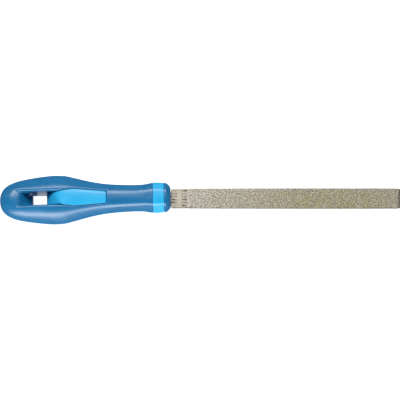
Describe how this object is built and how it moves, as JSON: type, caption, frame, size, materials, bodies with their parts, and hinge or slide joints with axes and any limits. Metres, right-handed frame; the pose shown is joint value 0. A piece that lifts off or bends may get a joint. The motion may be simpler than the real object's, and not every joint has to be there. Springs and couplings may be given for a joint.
{
  "type": "flat file",
  "caption": "Flat diamond-coated hand file: a steel blade on a tang in a two-colour moulded handle with a hanging hole.",
  "frame": {"origin": "middle of the upper coated face of the blade", "axes": "+X along the blade to its tip, +Z out of the upper coated face, +Y across the blade"},
  "size_m": [0.2581, 0.0317, 0.0217],
  "materials": {
    "steel": "ground hardened steel",
    "diamond": "nickel-bonded diamond grit, matt and sparkling",
    "dark_blue": "satin soft-touch moulding",
    "light_blue": "smooth hard moulding"
  },
  "bodies": {
    "blade": {"file_blank": "steel", "diamond_face_upper": "diamond", "diamond_face_lower": "diamond", "diamond_edge_front": "diamond", "diamond_edge_back": "diamond"},
    "handle": {"handle_core": "light_blue", "soft_grip": "dark_blue", "nose_ring": "dark_blue"}
  },
  "joints": [
    {"name": "handle_pull_off", "type": "slide", "parent": "blade", "child": "handle", "axis": [-1, 0, 0], "range_m": [0, 0.056]}
  ]
}
